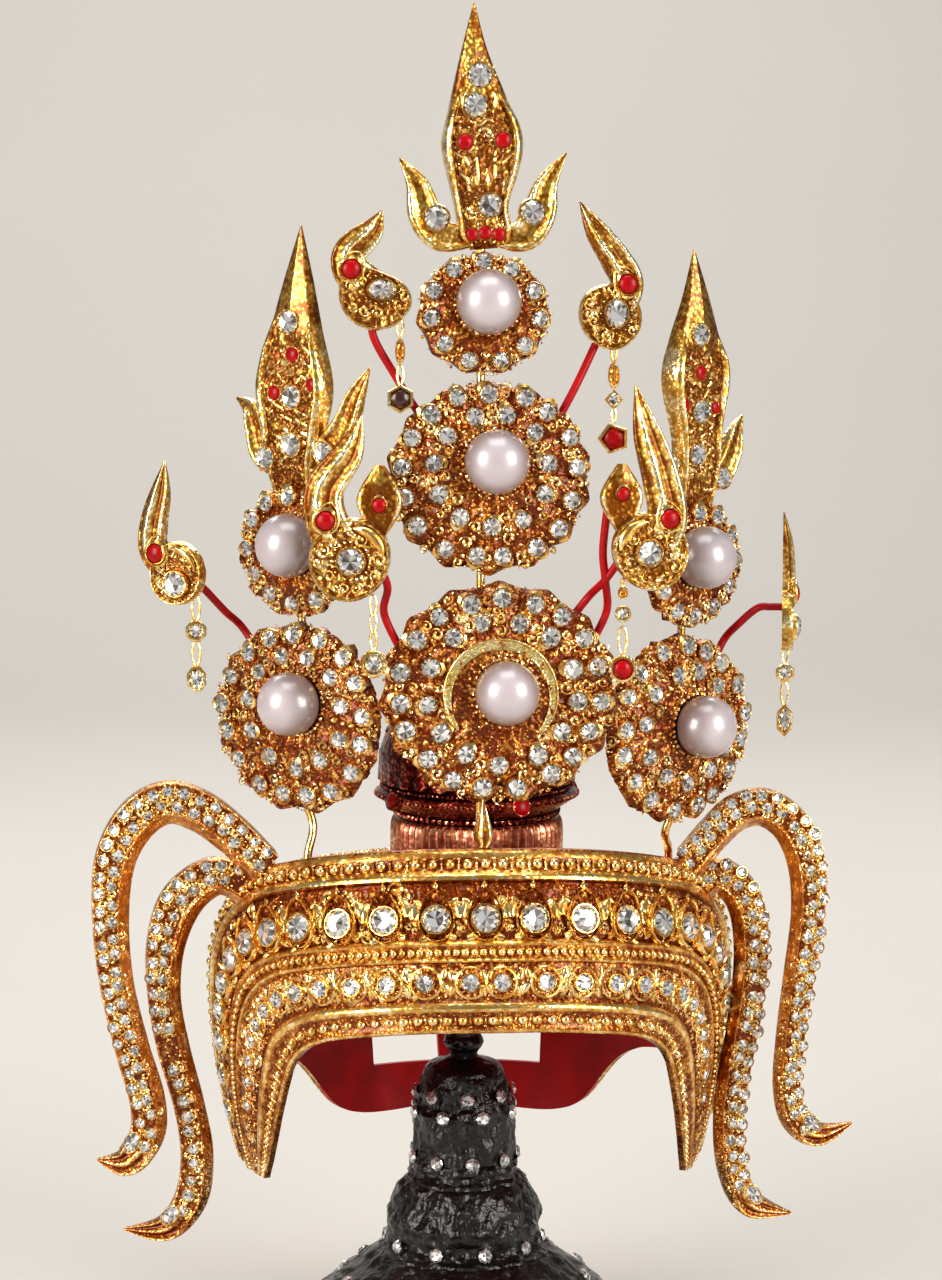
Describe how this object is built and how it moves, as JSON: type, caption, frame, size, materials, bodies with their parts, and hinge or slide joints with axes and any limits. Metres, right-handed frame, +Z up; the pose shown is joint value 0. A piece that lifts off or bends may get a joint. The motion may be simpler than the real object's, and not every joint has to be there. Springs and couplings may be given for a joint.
{
  "type": "apsara dancer's crown on a turned display stand",
  "caption": "Gilt dance crown: jewelled frontlet with ear tabs and open back band, pearl rosette towers with flame spires, hooked side arms and kanoks on wires, on a turned stand.",
  "frame": {"origin": "on the underside of the stand's foot, below the middle of the head band", "axes": "+Z up; the crown's front faces -Y; +X is on the left of someone wearing it"},
  "size_m": [0.2738, 0.1862, 0.4983],
  "materials": {
    "gilt_metal": "polished gilt, granular in the hollows",
    "red_gold": "dark reddish gilt",
    "pearl_white": "pearly white",
    "clear_crystal": "clear cut crystal on foil",
    "red_glass": "clear red glass",
    "red_wire": "red lacquered wire",
    "black_lacquer": "black gloss lacquer on turned wood"
  },
  "bodies": {
    "root": {"face_frame": "gilt_metal", "back_band": "gilt_metal", "crown_lid": "gilt_metal", "topknot_collar": "red_gold", "rim_flame": "gilt_metal", "arm_left_outer": "gilt_metal", "arm_left_inner": "gilt_metal", "arm_right_outer": "gilt_metal", "arm_right_inner": "gilt_metal", "rosette_centre_low": "gilt_metal", "pearl_centre_low": "pearl_white", "rosette_centre_middle": "gilt_metal", "pearl_centre_middle": "pearl_white", "rosette_centre_top": "gilt_metal", "pearl_centre_top": "pearl_white", "spire_centre": "gilt_metal", "rosette_left_low": "gilt_metal", "pearl_left_low": "pearl_white", "rosette_left_middle": "gilt_metal", "pearl_left_middle": "pearl_white", "spire_left": "gilt_metal", "rosette_right_low": "gilt_metal", "pearl_right_low": "pearl_white", "rosette_right_middle": "gilt_metal", "pearl_right_middle": "pearl_white", "spire_right": "gilt_metal", "rod_centre": "gilt_metal", "rod_left": "gilt_metal", "rod_right": "gilt_metal", "kanok_upper_left": "gilt_metal", "white_stone_upper_left": "clear_crystal", "red_stone_upper_left": "red_glass", "wire_upper_left": "red_wire", "drop_upper_left": "gilt_metal", "kanok_upper_right": "gilt_metal", "white_stone_upper_right": "clear_crystal", "red_stone_upper_right": "red_glass", "wire_upper_right": "red_wire", "drop_upper_right": "gilt_metal", "kanok_far_left": "gilt_metal", "white_stone_far_left": "clear_crystal", "red_stone_far_left": "red_glass", "wire_far_left": "red_wire", "drop_far_left": "gilt_metal", "kanok_far_right": "gilt_metal", "white_stone_far_right": "clear_crystal", "red_stone_far_right": "red_glass", "wire_far_right": "red_wire", "drop_far_right": "gilt_metal", "kanok_front_left": "gilt_metal", "white_stone_front_left": "clear_crystal", "red_stone_front_left": "red_glass", "wire_front_left": "red_wire", "drop_front_left": "gilt_metal", "kanok_front_right": "gilt_metal", "white_stone_front_right": "clear_crystal", "red_stone_front_right": "red_glass", "wire_front_right": "red_wire", "drop_front_right": "gilt_metal", "display_stand": "black_lacquer"}
  },
  "joints": []
}
